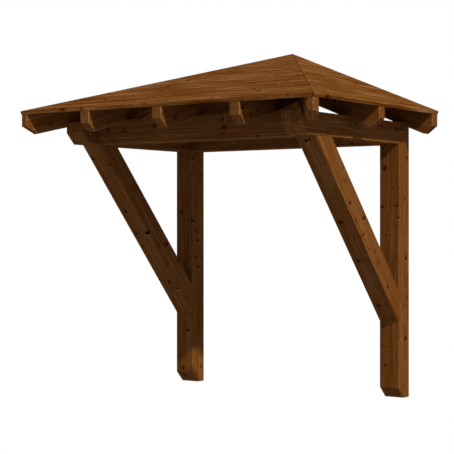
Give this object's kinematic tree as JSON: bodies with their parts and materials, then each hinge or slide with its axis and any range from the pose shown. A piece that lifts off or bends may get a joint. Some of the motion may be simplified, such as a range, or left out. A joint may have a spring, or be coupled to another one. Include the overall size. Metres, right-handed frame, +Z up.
{
  "type": "porch canopy",
  "caption": "Wall-hung timber porch canopy: boarded half-pyramid hip roof on rafters, carried by wall posts, arms and slanting braces.",
  "frame": {"origin": "middle of the wall beam's back face, on the wall", "axes": "+X to the right along the wall, +Y into the wall, +Z up"},
  "size_m": [1.918, 1.315, 1.9836],
  "materials": {
    "frame_timber": "walnut-brown stain, satin",
    "rafter_timber": "walnut-brown stain, satin",
    "roof_boards": "walnut-brown stain, satin"
  },
  "bodies": {
    "root": {"left_post": "frame_timber", "right_post": "frame_timber", "left_arm": "frame_timber", "right_arm": "frame_timber", "left_brace": "frame_timber", "right_brace": "frame_timber", "wall_beam": "frame_timber", "front_purlin": "frame_timber", "king_post": "frame_timber", "left_hip_rafter": "rafter_timber", "right_hip_rafter": "rafter_timber", "left_wall_rafter": "rafter_timber", "right_wall_rafter": "rafter_timber", "left_side_rafter": "rafter_timber", "right_side_rafter": "rafter_timber", "front_rafter_left": "rafter_timber", "front_rafter_centre": "rafter_timber", "front_rafter_right": "rafter_timber", "front_deck": "roof_boards", "left_deck": "roof_boards", "right_deck": "roof_boards"}
  },
  "joints": []
}
